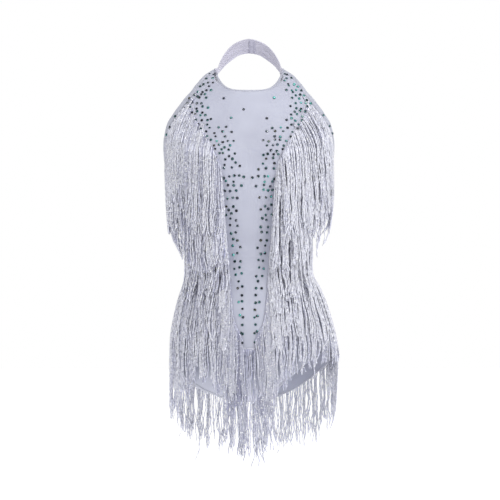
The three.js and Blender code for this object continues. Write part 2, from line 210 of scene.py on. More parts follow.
ribs = add_node(nodes, "TexWave", {"Scale": RIBS_PER_METRE / 6.283, "Distortion": 0.6, "Detail": 1})
links.new(uv.outputs["UV"], ribs.inputs["Vector"])
grain = add_node(nodes, "TexNoise", {"Scale": 1500})
links.new(uv.outputs["UV"], grain.inputs["Vector"])
knit = add_node(nodes, "Math", operation="ADD")
links.new(ribs.outputs["Fac"], knit.inputs[0])
links.new(grain.outputs["Fac"], knit.inputs[1])
bump = add_node(nodes, "Bump", {"Strength": 0.35, "Distance": 0.00012})
links.new(knit.outputs[0], bump.inputs["Height"])
links.new(bump.outputs["Normal"], shader.inputs["Normal"])


# Panels ------------------------------------------------------------------------------------
# The front is one piece from the neckline to the crotch seam and the back one piece from its
# deep scoop. A row lists the height at the centre line, where its end lies (x and z), and the
# power by which it climbs from centre to end; no x means the end is on the side seam. The leg
# edge of the front hangs lower on the right, so those rows end with its own x and z.
FRONT_ROWS = (
    (-85, 60, -53, 4.0),
    (-89, 63, -43.5, 7.0),
    (-97, 75, -50, 5.0),
    (-108, 88, -61, 3.6),
    (-121, 98, -73, 2.8),
    (-134, 107, -86, 2.2),
    (-148, 124, -106, 2),
    (-162, 140, -128, 2),
    (-178, 153, -150, 2),
    (-196, 158, -173, 2),
    (-216, 159, -200, 2),
    (-241, 155.5, -235, 2),
    (-270, None, -268, 2),
    (-416, None, -415, 2),
    (-562, None, -562, 2),
    (-582, 141, -571, 2, 146, -584),
    (-599, 122, -585, 2, 133, -606),
    (-615, 100, -600, 2, 114, -628),
    (-631, 81, -617, 2, 92, -644),
    (-645, 62, -634, 2, 70, -653),
    (-656, 47, -650, 2, 53, -660),
    (-664, 39, -662, 2, 42, -665),
    (-668, 38, -668, 2, 38, -668),
)
BACK_ROWS = (
    (-385, None, -268, 2.2),
    (-401, None, -306, 2),
    (-425, None, -356, 2),
    (-459, None, -412, 2),
    (-520, None, -502, 2),
    (-568, None, -562, 2),
    (-588, 150.5, -580, 2),
    (-606, 148, -597, 2),
    (-621, 134, -611, 2),
    (-634, 117, -626, 2),
    (-645, 97, -640, 2),
    (-654, 76, -651, 2),
    (-661, 53, -660, 2),
    (-665.5, 41, -665, 2),
    (-668, 38, -668, 2),
)
FRONT_UNDERARM, FRONT_LEG_TOP, BACK_LEG_TOP = 12, 14, 5  # rows
PANEL_CLOTH = 0.9
SOFT_CREASES = (  # centre x and z, slope in degrees, half length, width, depth
    (4, -396, 3, 34, 7, 0.7),
    (-6, -418, -4, 30, 6, 0.6),
    (10, -440, 6, 26, 6, 0.5),
    (-2, -470, -8, 22, 5, 0.45),
    (14, -262, 10, 20, 6, 0.4),
    (-16, -246, -14, 22, 6, 0.45),
    (0, -540, 0, 26, 7, 0.6),
    (-52, -604, 24, 30, 7, 1.1),
    (-72, -590, 30, 26, 6, 0.9),
    (60, -600, -26, 30, 7, 1.1),
    (84, -584, -30, 28, 6, 0.9),
    (-47, -654, 66, 13, 2.6, 2.6),
    (-72, -622, 40, 26, 6, 0.8),
)
SEAT_CREASES = (
    (-40, -420, 6, 40, 7, 0.9),
    (52, -436, -7, 44, 7, 1.0),
    (-8, -452, 2, 50, 8, 0.8),
    (70, -560, -30, 30, 8, 1.1),
    (-74, -566, 28, 30, 8, 1.1),
    (-60, -612, 20, 34, 7, 1.2),
    (58, -616, -22, 34, 7, 1.2),
    (96, -604, -34, 24, 6, 1.0),
    (-98, -600, 36, 24, 6, 1.0),
)


def unit(vectors, least=0.0):
    return vectors / (np.linalg.norm(vectors, axis=-1, keepdims=True) + least)


def panel_surface(rows, behind, creases):
    """The surface of a panel over across, -1 to 1, and down, in mm from its top edge."""
    centre = np.array([row[0] for row in rows], float)
    edges = []  # of the left half, then of the right half: heights and angles
    for k in (1, 4):
        pairs = [row[k : k + 2] if len(row) > k else row[1:3] for row in rows]
        edge_x = np.array([np.inf if x is None else x for x, _ in pairs])
        edge_z = np.array([z for _, z in pairs], float)
        angle = np.where(np.isinf(edge_x), 90, form_angle(np.minimum(edge_x, 400), edge_z))
        edges.append((edge_z, angle))
    ends = form_point(edges[0][1], edges[0][0])
    along_edge = np.linalg.norm(np.diff(ends, axis=0), axis=1)
    down_at = np.concatenate([[0], np.cumsum((np.abs(np.diff(centre)) + along_edge) / 2)])
    centre_at, rise_at = (smooth_curve(down_at, c) for c in (centre, [row[3] for row in rows]))
    left, right = ([smooth_curve(down_at, c) for c in edge] for edge in edges)

    def flat(across, down):
        climb = np.abs(across) ** rise_at(down)
        edge_z, angle = (np.where(across < 0, b(down), a(down)) for a, b in zip(left, right))
        z = centre_at(down) + (edge_z - centre_at(down)) * climb
        if behind:
            return form_point(180 + angle * across, z)
        x = form_point(angle * across, edge_z)[..., 0]
        return form_point(form_angle(x, z), z)

    def surface(across, down, lift=0.0):
        points = flat(across, down)
        step = 0.4
        ahead, back = flat(across + step / 100, down), flat(across - step / 100, down)
        lower, upper = flat(across, down + step), flat(across, down - step)
        normals = unit(np.cross(lower - upper, ahead - back), 1e-12)
        sunk = np.zeros(points.shape[:-1])
        for x, z, slope, half_length, width, depth in creases:
            turn = np.radians(slope)
            dx, dz = points[..., 0] - x, points[..., 2] - z
            along = dx * np.cos(turn) + dz * np.sin(turn)
            beside = dz * np.cos(turn) - dx * np.sin(turn) - 0.08 * along**2 / half_length
            trough = np.exp(-((beside / width) ** 2)) - 0.6 * np.exp(-((beside / width - 1.7) ** 2))
            sunk += depth * trough * np.exp(-((along / half_length) ** 2))
        return points + normals * (lift - sunk)[..., None], normals

    return surface, down_at


def finished_piece(name, mesh, material):
    """Makes a mesh, in metres, a piece of this material that rides on the garment."""
    mesh.materials.append(material)
    piece = bpy.data.objects.new(name, mesh)
    bpy.context.scene.collection.objects.link(piece)
    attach(piece, "root")
    return piece


def cloth_strip(name, columns, rows, shape, width, length, material=None):
    """A grid of cloth laid out by shape(across, down), both 0 to 1, with its flat size as UV."""
    bm = bmesh.new()
    bmesh.ops.create_grid(bm, x_segments=columns, y_segments=rows, size=0.5, calc_uvs=False)
    grid = np.array([vertex.co for vertex in bm.verts])
    across, down = grid[:, 0] + 0.5, 0.5 - grid[:, 1]
    places = shape(across, down) * MM
    uv_layer = bm.loops.layers.uv.new("UVMap")
    for vertex, place, u, v in zip(bm.verts, places, across * width, down * length):
        vertex.co = place
        for loop in vertex.link_loops:
            loop[uv_layer].uv = (u * MM, -v * MM)
    mesh = bpy.data.meshes.new(name)
    bm.to_mesh(mesh)
    bm.free()
    mesh.shade_smooth()
    return finished_piece(name, mesh, material or cloth_material)


def thicken(piece, thickness, offset=-1.0):
    solidify = piece.modifiers.new("cloth thickness", "SOLIDIFY")
    solidify.thickness = thickness * MM
    solidify.offset = offset


front_surface, front_down = panel_surface(FRONT_ROWS, False, SOFT_CREASES)
back_surface, back_down = panel_surface(BACK_ROWS, True, SEAT_CREASES)
front_panel = cloth_strip(
    "front_cloth",
    88,
    190,
    lambda a, d: front_surface(2 * a - 1, d * front_down[-1])[0],
    width=330,
    length=600,
)
back_panel = cloth_strip(
    "back_cloth",
    88,
    120,
    lambda a, d: back_surface(2 * a - 1, d * back_down[-1])[0],
    width=330,
    length=340,
)
for panel, node in ((front_panel, "front_panel"), (back_panel, "back_panel")):
    thicken(panel, PANEL_CLOTH)
    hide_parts(node)


# Edges and seams ---------------------------------------------------------------------------
# Neckline, armholes, open back and leg openings are bound with a folded strip of the same
# cloth. The side seams and the crotch seam are a shallow ridge of closed cloth.
NARROW_BINDING, NARROW_HEIGHT = 6.0, 0.6  # below this width a strip lies flatter
stitch_lines = []  # rows of thread: points and normals
BINDING_PROFILE = (  # from the raw edge on the outside round to the inside: inward, outward
    (1.0, 0.05),
    (0.97, 0.55),
    (0.85, 0.72),
    (0.5, 0.8),
    (0.15, 0.8),
    (0.0, 0.62),
    (-0.07, 0.1),
    (-0.09, -0.45),
    (-0.07, -1.0),
    (0.0, -1.5),
    (0.15, -1.68),
    (0.5, -1.68),
    (0.85, -1.6),
    (1.0, -1.0),
)


def bind_edge(name, surface, start, end, inward, steps, side):
    """Folds a strip, side wide on each face, over the edge from start to end (across, down)."""
    share = np.linspace(0, 1, steps)[:, None]
    across = start[0] + (end[0] - start[0]) * share
    down = start[1] + (end[1] - start[1]) * share
    inner = np.linspace(0, 0.35 if inward[0] else 26.0, 60)  # a share of across, or mm down
    lines, _ = surface(across + inward[0] * inner, down + inward[1] * inner)
    runs = np.cumsum(np.linalg.norm(np.diff(lines, axis=1), axis=2), axis=1)

    def inside_edge(depth):
        """Points and normals of the panel this far in from its edge."""
        reach = [np.interp(depth, np.concatenate([[0], run]), inner) for run in runs]
        reach = np.array(reach)[:, None]
        return surface(across + inward[0] * reach, down + inward[1] * reach)

    edge, _ = inside_edge(0)
    outwards = unit(edge - inside_edge(1)[0])
    i = np.arange(steps)[:, None, None]
    ripple = 0.06 * np.sin(i * 2.3) + 0.05 * np.sin(i * 0.71 + 1)
    columns = []
    for depth, height in BINDING_PROFILE:
        if side < NARROW_BINDING and height > 0:
            height = height * NARROW_HEIGHT
        points, normal = inside_edge(max(depth, 0) * side)
        columns.append(points + outwards * max(-depth, 0) * side + normal * (height + ripple))
    grid = np.concatenate(columns, axis=1)

    def shape(a, d):
        row, column = np.rint(d * (steps - 1)), np.rint(a * (len(columns) - 1))
        return grid[row.astype(int), column.astype(int)]

    length = np.linalg.norm(np.diff(edge[:, 0], axis=0), axis=1).sum()
    strip = cloth_strip(name, len(columns) - 1, steps - 1, shape, 2 * side, length)
    thicken(strip, 0.35)
    for part in (0.45, 0.8):
        points, normal = inside_edge(part * side)
        stitch_lines.append((points[:, 0] + normal[:, 0] * 0.8, normal[:, 0]))


bind_edge("binding_neckline", front_surface, (-1, 0), (1, 0), (0, 1), steps=150, side=4.5)
bind_edge("binding_open_back", back_surface, (1, 0), (-1, 0), (0, 1), steps=170, side=8.0)
for word, side in (("left", 1), ("right", -1)):
    armhole = ((side, front_down[1]), (side, front_down[FRONT_UNDERARM]))
    front_leg = ((side, front_down[FRONT_LEG_TOP]), (side, front_down[-1]))
    back_leg = ((-side, back_down[BACK_LEG_TOP]), (-side, back_down[-1]))
    for name, surface, run, inward, side_width in (
        (f"binding_armhole_{word}", front_surface, armhole, (-side, 0), 9.5),
        (f"binding_front_leg_{word}", front_surface, front_leg, (-side, 0), 7.5),
        (f"binding_back_leg_{word}", back_surface, back_leg, (side, 0), 7.5),
    ):
        start, end = run if side * inward[0] < 0 else run[::-1]
        bind_edge(name, surface, start, end, inward, steps=130, side=side_width)


def seam_point(side, beside, z, lift):
    """A point this far behind the side seam, on the form grown by lift."""
    power = square_at(z)
    reach = np.where(beside < 0, front_at(z), back_at(z))
    x = half_at(z) * (1 - (np.abs(beside) / reach) ** power) ** (1 / power)
    return np.stack([side * (x + lift), SIDE_SEAM_Y + beside, z], axis=-1)


SEAM_RIDGE = 4.2  # width of the overlocked ridge
SEAM_TOP, SEAM_DROP = -270, 291
for word, side in (("left", 1), ("right", -1)):

    def ridge(a, d):
        beside = SEAM_RIDGE * (a - 0.5)
        crown = 1 - (2 * a - 1) ** 2
        height = 0.75 * np.sqrt(np.clip(crown, 0, 1)) - 0.55 * np.exp(-((beside / 0.4) ** 2))
        ripple = 0.1 * np.sin(d * 190 + side) * crown
        return seam_point(side, side * beside, SEAM_TOP - SEAM_DROP * d, 0.1 + height + ripple)

    thicken(cloth_strip(f"side_seam_{word}", 10, 150, ridge, SEAM_RIDGE, 300), 0.5)


CROTCH_HALF_WIDTH, CROTCH_Z = 37, -667.2


def under_crotch(a, d):
    turn = np.pi * a
    x = CROTCH_HALF_WIDTH * (2 * d - 1)
    drop = 1.6 * np.sin(turn) + 0.12 * np.sin(x * 1.1)
    return np.stack([x, SIDE_SEAM_Y - 1.9 * np.cos(turn), CROTCH_Z - drop], axis=-1)


thicken(cloth_strip("crotch_seam", 10, 40, under_crotch, 8, 76), 0.4, 0)


# Neck band ---------------------------------------------------------------------------------
# Each half of the halter band is cloth folded double, with the fold on top. It runs from the
# strap's end round the side of the neck to the nape, where a narrow overlap closes it.
BAND_HALF_WIDTHS = {1: 61, -1: 58.5}  # of its left and right half
BAND_DEPTH, BAND_LEAN = 66, 0.25
BAND_CLOTH, BAND_LAYER = 2.0, 0.5  # folded double, and each of its layers
FOLD_FROM, FOLD_ROUND = 0.94, 0.06  # the share of the height where the cloth turns over
BAND_HEIGHTS = (  # angle round the neck, lower edge, upper edge
    (94, -51, -39.5),
    (108, -46.5, -30),
    (127, -35, -12),
    (145, -23.5, 3.5),
    (163, -13.2, 13),
    (180, -10.2, 17),
)
BAND_LENGTH, BAND_FLAT_WIDTH = 118, 46


def distance_along(line):
    """How far along a line each of its points lies."""
    return np.concatenate([[0], np.cumsum(np.linalg.norm(np.diff(line, axis=0), axis=1))])


def band_surface(side):
    """Points of one half: along runs 0 to 1 from strap to nape, up 0 to 1 from hem to fold."""
    angles, low, high = np.array(BAND_HEIGHTS, float).T
    stations = np.linspace(94, 180, 13)
    edges_at = []
    for heights, down in ((smooth_curve(angles, low), 0), (smooth_curve(angles, high), 1)):
        z = heights(stations)
        turn = np.radians(stations)
        x = np.maximum(BAND_HALF_WIDTHS[side] * np.sin(turn), 0.15)
        y = SIDE_SEAM_Y - BAND_DEPTH * np.cos(turn) + BAND_LEAN * z * np.cos(turn)
        loop = np.stack([side * x, y, z], axis=-1)
        corner, _ = front_surface(np.array([float(side)]), np.array([front_down[down]]))
        corner = corner + (corner - loop[0]) * 0.35 + np.array([[0, -0.2, 0]])
        line = np.concatenate([corner, loop])
        run = distance_along(line)
        edges_at.append([smooth_curve(run / run[-1], line[:, k]) for k in range(3)])

    def point(along, up):
        low_point, high_point = (np.stack([c(along) for c in edge], axis=-1) for edge in edges_at)
        return low_point + (high_point - low_point) * up[..., None]

    def surface(along, up, lift):
        ahead = point(np.minimum(along + 0.01, 1), up) - point(np.maximum(along - 0.01, 0), up)
        rise = point(along, up + 0.1) - point(along, up - 0.1)
        normal = unit(np.cross(ahead, rise) * side)
        crinkle = 0.6 * np.sin(13 * up - 5 * along + side) * np.sin(2 + 5 * along)
        crinkle += 0.25 * np.sin(21 * up + 4 * along) * np.sin(1 + 9 * along + side)
        crinkle += 0.3 * np.sin(9 * along + 4 * up) * np.sin(3 + 13 * along - 3 * up)
        crinkle *= 0.5 if side > 0 else 0.8
        crinkle *= np.clip((1 - up) / 0.15, 0, 1) * np.clip(along / 0.15, 0, 1)
        return point(along, up) + normal * (lift + crinkle)[..., None]

    return surface


# The band's copy of the cloth is a little more purple and painted lighter: painted light on the
# band's inner face, towards the camera.
band_painted_light_material = cloth_material.copy()
band_painted_light_material.name = "band cloth"
band_tint = next(node for node in band_painted_light_material.node_tree.nodes if node.type == "MIX")
set_values(band_tint, {"A": (0.425, 0.415, 0.5, 1), "B": (0.5, 0.487, 0.59, 1)})
for word, side in (("left", 1), ("right", -1)):
    surface = band_surface(side)

    def folded(a, d):
        up = 1 - np.abs(2 * a - 1)
        round_fold = np.sqrt(np.clip(1 - ((up - FOLD_FROM) / FOLD_ROUND) ** 2, 0, 1))
        half_wall = (BAND_CLOTH - BAND_LAYER) / 2 * np.where(up > FOLD_FROM, round_fold, 1)
        return surface(d, up, np.where(a < 0.5, half_wall, -half_wall) - 0.9)

    band = cloth_strip(
        f"band_cloth_{word}", 64, 84, folded, BAND_FLAT_WIDTH, BAND_LENGTH, material=band_painted_light_material
    )
    thicken(band, BAND_LAYER, 0)
    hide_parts(f"neck_band_{word}")

nape = band_surface(1)
OVERLAP_WIDTH, OVERLAP_FROM = 10.5, 0.5
# The overlap is coloured a little darker than the band.
overlap_material, nodes, links, shader = new_material("darker overlap cloth", 0.6, (0.4, 0.392, 0.485))
weave_uv = add_node(nodes, "UVMap")
weave = add_node(nodes, "TexChecker", {"Scale": 900})
links.new(weave_uv.outputs["UV"], weave.inputs["Vector"])
weave_bump = add_node(nodes, "Bump", {"Strength": 0.3, "Distance": 0.0002})
links.new(weave.outputs["Fac"], weave_bump.inputs["Height"])
links.new(weave_bump.outputs["Normal"], shader.inputs["Normal"])


def nape_overlap(a, d):
    beside = OVERLAP_FROM + OVERLAP_WIDTH * a
    along = 1 - beside / BAND_LENGTH
    raised = 1.1 * np.clip(np.minimum(a, 1 - a) / 0.08, 0, 1) ** 0.5
    puckered = 0.18 * np.sin(d * 21 + a * 3)
    return nape(along, 0.03 + 0.93 * d, -1.95 - raised - puckered)


overlap = cloth_strip("nape_overlap", 24, 40, nape_overlap, 11, 28, material=overlap_material)
thicken(overlap, 0.5, 0)
overlap_lines = []
for beside in (1.8, 3.0, 9.0, 10.2):
    height = np.linspace(0.05, 0.94, 30)
    line = nape(1 - beside / BAND_LENGTH + 0 * height, height, -3.35 + 0 * height)
    overlap_lines.append((line, np.tile([0.0, -1.0, 0.1], (len(line), 1))))


# Strap ends --------------------------------------------------------------------------------
# Where the band joins the front, the seam allowances are rolled into a small soft knot of the
# same cloth, one on each side.
for word, side in (("left", 1), ("right", -1)):
    corners = [
        front_surface(np.array([float(side)]), np.array([front_down[k]]))[0][0] for k in (0, 1)
    ]
    leading = np.array([side * 0.25, 0.93, 0.25])

    def knot(a, d):
        turn = 2 * np.pi * a
        swell = np.sqrt(np.clip(1 - np.abs(2 * d - 1) ** 3, 0, 1))
        swell = swell * (1 + 0.12 * np.sin(5 * turn + 4 * d))
        middle = corners[0] + (corners[1] - corners[0]) * (1.3 * d - 0.12)[:, None]
        across = np.array([side * 0.95, -0.3, 0.1])
        reach = 2.9 * np.cos(turn)[:, None] * across + 3.4 * np.sin(turn)[:, None] * leading
        return middle + reach * swell[:, None]

    roll = cloth_strip(f"strap_knot_{word}", 20, 16, knot, 18, 14)
    closed = bmesh.new()
    closed.from_mesh(roll.data)
    bmesh.ops.remove_doubles(closed, verts=closed.verts, dist=1e-6)
    closed.to_mesh(roll.data)
    closed.free()


# Stitching ---------------------------------------------------------------------------------
# A twin row of pale thread holds every binding down, one small stitch after another. Two twin
# rows of dark thread hold the overlap at the nape.
thread_material, nodes, links, shader = new_material("thread", 0.5, (0.62, 0.63, 0.74))
STITCH_LENGTH, STITCH_GAP, THREAD_WIDTH = 2.3, 0.9, 0.42
STITCH = np.array(
    [(-1, 0, 0), (0, 1, 0), (1, 0, 0), (0, -1, 0), (0, 0, 1), (0, 0, -0.4)], float
)  # ends along x, sides along y, crown along z
STITCH_CROWN = ((0, 3, 4), (3, 2, 4), (2, 1, 4), (1, 0, 4))
STITCH_FACES = (*STITCH_CROWN, (3, 0, 5), (2, 3, 5), (1, 2, 5), (0, 1, 5))


def joined(name, template, faces, places, axes, sizes, material):
    """Many copies of one small form as a single mesh. axes holds x, y and z for each copy."""
    scaled = template[None] * sizes[:, None, :]
    points = places[:, None] + np.einsum("nij,nki->nkj", axes, scaled)
    mesh = bpy.data.meshes.new(name)
    count = len(template)
    index = [tuple(i * count + v for v in face) for i in range(len(places)) for face in faces]
    mesh.from_pydata((points.reshape(-1, 3) * MM).tolist(), [], index)
    return finished_piece(name, mesh, material)


def stitch_rows(name, lines, material):
    """lines holds pairs of points and normals, densely spaced, one pair for each row."""
    places, axes = [], []
    for line, normals in lines:
        run = distance_along(line)
        at = np.arange(2, run[-1] - 2, STITCH_LENGTH + STITCH_GAP)
        middle, next_point, up = (
            np.stack([np.interp(spot, run, values[:, k]) for k in range(3)], axis=-1)
            for spot, values in ((at, line), (at + 1, line), (at, normals))
        )
        ahead = unit(next_point - middle)
        beside = unit(np.cross(up, ahead))
        places.append(middle + up * 0.08)
        axes.append(np.stack([ahead, beside, np.cross(ahead, beside)], axis=1))
    places, axes = np.concatenate(places), np.concatenate(axes)
    sizes = np.tile([STITCH_LENGTH / 2, THREAD_WIDTH / 2, 0.3], (len(places), 1))
    joined(name, STITCH, STITCH_FACES, places, axes, sizes, material)


stitch_rows("binding_stitches", stitch_lines, thread_material)
dark_thread, *_ = new_material("overlap thread", 0.6, (0.2, 0.195, 0.26))
stitch_rows("overlap_stitches", overlap_lines, dark_thread)


# Fringe yarn -------------------------------------------------------------------------------
# Twisted silver and white rayon yarn. Strands differ in tone, which also carries painted light
# and shade, and flecks of metallic foil along them catch the light. Darker flecks are painted
# shade, foil turned away from the light.
fringe_material, nodes, links, shader = new_material("fringe yarn", 0.5)
yarn_finish = {
    "Subsurface Weight": 0.45,
    "Subsurface Radius": (1.0, 1.0, 1.05),
    "Subsurface Scale": 0.002,
}
set_values(shader, yarn_finish)
tone = add_node(nodes, "Attribute", attribute_name="tone")
yarn_tones = {"A": (0.345, 0.355, 0.5, 1), "B": (0.83, 0.842, 0.955, 1)}
yarn = add_node(nodes, "Mix", yarn_tones, data_type="RGBA")
place = add_node(nodes, "TexCoord")
stretch = add_node(nodes, "Mapping", {"Scale": (330, 330, 85)})
links.new(place.outputs["Object"], stretch.inputs["Vector"])
streak = add_node(nodes, "TexNoise", {"Scale": 1, "Detail": 2})
links.new(stretch.outputs["Vector"], streak.inputs["Vector"])
mixed = add_node(nodes, "Math", {1: 0.36}, operation="MULTIPLY_ADD")
links.new(streak.outputs["Fac"], mixed.inputs[0])
links.new(tone.outputs["Fac"], mixed.inputs[2])
shade = add_node(nodes, "MapRange", {"From Min": 0.17, "From Max": 0.98})
links.new(mixed.outputs[0], shade.inputs["Value"])
# Darker flecks are painted shade: foil turned away from the light.
fleck_range = {"From Min": 0.9, "From Max": 0.92, "To Min": 1, "To Max": 0.4}
painted_shade_fleck = add_node(nodes, "MapRange", fleck_range)
flecked = add_node(nodes, "Math", operation="MULTIPLY")
links.new(shade.outputs["Result"], flecked.inputs[0])
links.new(painted_shade_fleck.outputs["Result"], flecked.inputs[1])
links.new(flecked.outputs[0], yarn.inputs["Factor"])
fleck = add_node(nodes, "TexVoronoi", {"Scale": 520})
links.new(place.outputs["Object"], fleck.inputs["Vector"])
foil = add_node(nodes, "Math", {1: 0.95}, operation="GREATER_THAN")
apart = add_node(nodes, "SeparateColor")
links.new(fleck.outputs["Color"], apart.inputs["Color"])
links.new(apart.outputs["Red"], foil.inputs[0])
links.new(apart.outputs["Green"], painted_shade_fleck.inputs["Value"])
glint = add_node(nodes, "Mix", {"B": (0.97, 0.97, 1.0, 1)}, data_type="RGBA")
links.new(yarn.outputs["Result"], glint.inputs["A"])
links.new(foil.outputs[0], glint.inputs["Factor"])
links.new(glint.outputs["Result"], shader.inputs["Base Color"])
metal = add_node(nodes, "Math", {1: 0.7}, operation="MULTIPLY")
links.new(foil.outputs[0], metal.inputs[0])
links.new(metal.outputs[0], shader.inputs["Metallic"])


# Fringe ------------------------------------------------------------------------------------
# Twisted fringe hangs from narrow woven header tapes sewn across each half of the front, below
# the plain centre and round the back. Every strand starts on its tape and slides down over
# what is below it. Most gather into ribbons, and others hang deeper in between, their tone
# set per trim as painted shade in the gaps.
TAPE_HEIGHT = 8.0
STRAND_SPACING = 1.6  # along the tape, counting its layers one behind another
STRAND_RADIUS = 1.35
STRAND_STEP = 4.2  # between the points of a strand
STRAND_TWIST, THIRD_TURN = 0.65, 2.0944  # radians: at each step, and between its three edges
STRAND_LIFT, LAYER = 1.7, 3.0  # off the cloth, and further for each trim it passes over
LAYER_RAMP, LAYER_CLEAR = 26, 8  # height over which they rise, ending this far above a tape
FAN = 0.6  # how far strands spread sideways where the body below them widens
RIBBON, CLUMP = 8.2, 21  # spacing of the ribbons and of the looser clumps at the ends
UNDER_SHARE = 0.36  # of the strands, which hang deeper, between the ribbons
rng = np.random.default_rng(11)

FRONT_TRIMS = (  # name, x, heights, tip heights on the left and the right, sways
    ("shoulder", (104, 130, 152), (-104, -132, -178), ((-296, -330, -352),) * 2, (0.36, 0.12)),
    ("upper_bust", (83, 120, 153), (-155, -185, -224), ((-340, -362, -362),) * 2, (0.12, 0.02)),
    (
        "bust",
        (55, 106, 150),
        (-222, -231, -248),
        ((-404, -408, -368), (-404, -420, -378)),
        (0, 0),
    ),
    ("underbust", (45, 85, 116), (-292, -299, -306), ((-474, -476, -470),) * 2, (0, 0)),
    ("waist", (41, 85, 112), (-372, -378, -385), ((-548, -552, -556),) * 2, (0.05, 0)),
    (
        "hip",
        (34, 90, 129),
        (-456, -462, -469),
        (
            (-646, -622, -602, -592, -583, -571, -560),
            (-652, -640, -620, -616, -655, -664, -664),
        ),
        (0.08, 0),
    ),
)
EDGE_Z = (-104, -115, -135, -155, -175, -195, -214, -235, -271, -336, -402, -470, -520, -560)
EDGE_X = (110, 108, 101, 93, 79, 69, 59, 52, 48, 43, 38, 34, 28, 12)
inner_edge_x = smooth_curve(EDGE_Z, EDGE_X)  # where the plain centre panel ends
# Over the left hip the fringe swings out from the body, and on the right it clings.
swing_at = smooth_curve((-760, -640, -590, -560, -500, -440, -380, -300), (5, 8, 12, 9, 7, 5, 0, 0))
# The wearer's right hip is drawn in a little.
drawn_in = smooth_curve((-800, -600, -540, -470, -400), (5.5, 5.5, 5, 2.5, 0))
# No strand stands out further than this on either side.
LIMIT_Z = (-760, -700, -620, -590, -550, -510, -475, -440, -400, -350, -290, -180, -130)
LEFT_LIMIT = (140, 160, 168, 172, 165, 156, 145, 130, 126, 150, 158, 158, 148)
RIGHT_LIMIT = (130, 148, 150, 150, 148, 142, 133, 122, 124, 150, 155, 159, 148)
left_limit, right_limit = (smooth_curve(LIMIT_Z, limit) for limit in (LEFT_LIMIT, RIGHT_LIMIT))


def settle(points):
    """Points of the garment, in mm, with the right hip drawn in."""
    share = np.clip(-points[..., 0] / 150, 0, 1) ** 2
    moved = points.copy()
    moved[..., 0] += drawn_in(points[..., 2]) * share
    return moved


def held_in(points):
    """Points of strands, bent back softly where they would pass the limits."""
    x, z = points[..., 0], points[..., 2]
    start = np.where(x > 0, left_limit(z), right_limit(z)) - 6
    over = np.maximum(np.abs(x) - start, 0)
    held = points.copy()
    held[..., 0] = np.sign(x) * (np.abs(x) - over + 7 * np.tanh(over / 7))
    return held


def through(values, share):
    """The value at share 0 to 1 of a curve through evenly spaced values."""
    if len(values) > 3:
        return smooth_curve(np.linspace(0, 1, len(values)), values)(share)
    first, middle, last = values
    return first + (last - first) * share + (4 * middle - 2 * (first + last)) * share * (1 - share)


def layered(x, z, tapes):
    """How far strands lie off the form, being raised by each trim that they pass over."""
    clinging = 1 - 0.8 * np.clip(-x / 150, 0, 1) ** 4
    swing = swing_at(z) * np.clip(x / 150, 0, 1) ** 3
    lift = STRAND_LIFT + swing
    for tape_z in tapes:
        start = tape_z + TAPE_HEIGHT + LAYER_CLEAR + LAYER_RAMP
        lift = lift + LAYER * clinging * np.clip((start - z) / LAYER_RAMP, 0, 1)
    return lift


def hang(roots, tip_z, lift_at, sway, levels):
    """Centre lines of strands: they slide out where the body widens, else they drop straight."""
    x, y, z = roots.T
    drop = (z - tip_z) / (levels - 1)
    path = [roots]
    for level in range(1, levels):
        above = half_at(z)
        z = z - drop
        x = x * np.maximum(half_at(z) / above, 1) ** FAN
        x = x + sway * np.exp(-drop * level / 70) * drop
        lift = lift_at(x, z)
        for _ in range(7):
            excess, slope = form_outside(x, y, z, lift)
            push = np.where(excess < -1e-4, excess, 0) / (slope**2).sum(axis=-1)
            x, y = x - push * slope[..., 0], y - push * slope[..., 1]
        path.append(np.stack([x, y, z], axis=-1))
    return np.stack(path, axis=1)


def groups(position, spacing):
    """Gives each strand its nearest group along the tape, and how far off that group is."""
    count = max(int(np.ptp(position) / spacing), 1)
    middle = (np.arange(count) + 0.5 + rng.uniform(-0.3, 0.3, count)) / count
    centres = position.min() + np.ptp(position) * middle
    nearest = np.abs(position[:, None] - centres).argmin(axis=1)
    return nearest, centres[nearest] - position, count


def strand_mesh(name, paths, tone, radius):
    """Three-sided twisted strands as one mesh, with their tone kept as an attribute."""
    strands, levels, _ = paths.shape
    along = unit(np.gradient(paths, axis=1))
    beside = unit(np.cross(along, np.array([0.3, 0.2, 0.93])), 1e-9)
    behind = np.cross(along, beside)
    turn = rng.uniform(0, 6.28, (strands, 1)) + np.arange(levels) * STRAND_TWIST
    taper = np.ones(levels)
    taper[-1] = 0.45
    width = radius[:, None] * taper * rng.uniform(0.85, 1.15, (strands, levels))
    corners = []
    for side in range(3):
        angle = turn + side * THIRD_TURN
        reach = np.cos(angle)[..., None] * beside + np.sin(angle)[..., None] * behind
        corners.append(paths + reach * width[..., None])
    points = np.stack(corners, axis=2).reshape(-1, 3) * MM
    first = (np.arange(strands)[:, None] * levels + np.arange(levels - 1)).reshape(-1) * 3
    faces = []
    for side in range(3):
        near, far = first + side, first + (side + 1) % 3
        faces.append(np.stack([near, far, far + 3, near + 3], axis=-1))
    ends = (np.arange(strands) * levels + levels - 1) * 3
    starts = np.arange(strands) * levels * 3
    quads = np.concatenate(faces)
    caps = np.concatenate(
        [np.stack([ends, ends + 1, ends + 2], -1), np.stack([starts + 2, starts + 1, starts], -1)]
    )
    mesh = bpy.data.meshes.new(name)
    loops = np.concatenate([quads.ravel(), caps.ravel()])
    sizes = np.concatenate([np.full(len(quads), 4), np.full(len(caps), 3)])
    mesh.vertices.add(len(points))
    mesh.vertices.foreach_set("co", points.ravel())
    mesh.loops.add(len(loops))
    mesh.loops.foreach_set("vertex_index", loops.astype(np.int32))
    mesh.polygons.add(len(sizes))
    mesh.polygons.foreach_set("loop_start", (np.cumsum(sizes) - sizes).astype(np.int32))
    mesh.update(calc_edges=True)
    mesh.shade_smooth()
    per_point = mesh.attributes.new("tone", "FLOAT", "POINT")
    per_point.data.foreach_set("value", np.repeat(tone.ravel(), 3).astype(np.float32))
    return finished_piece(name, mesh, fringe_material)


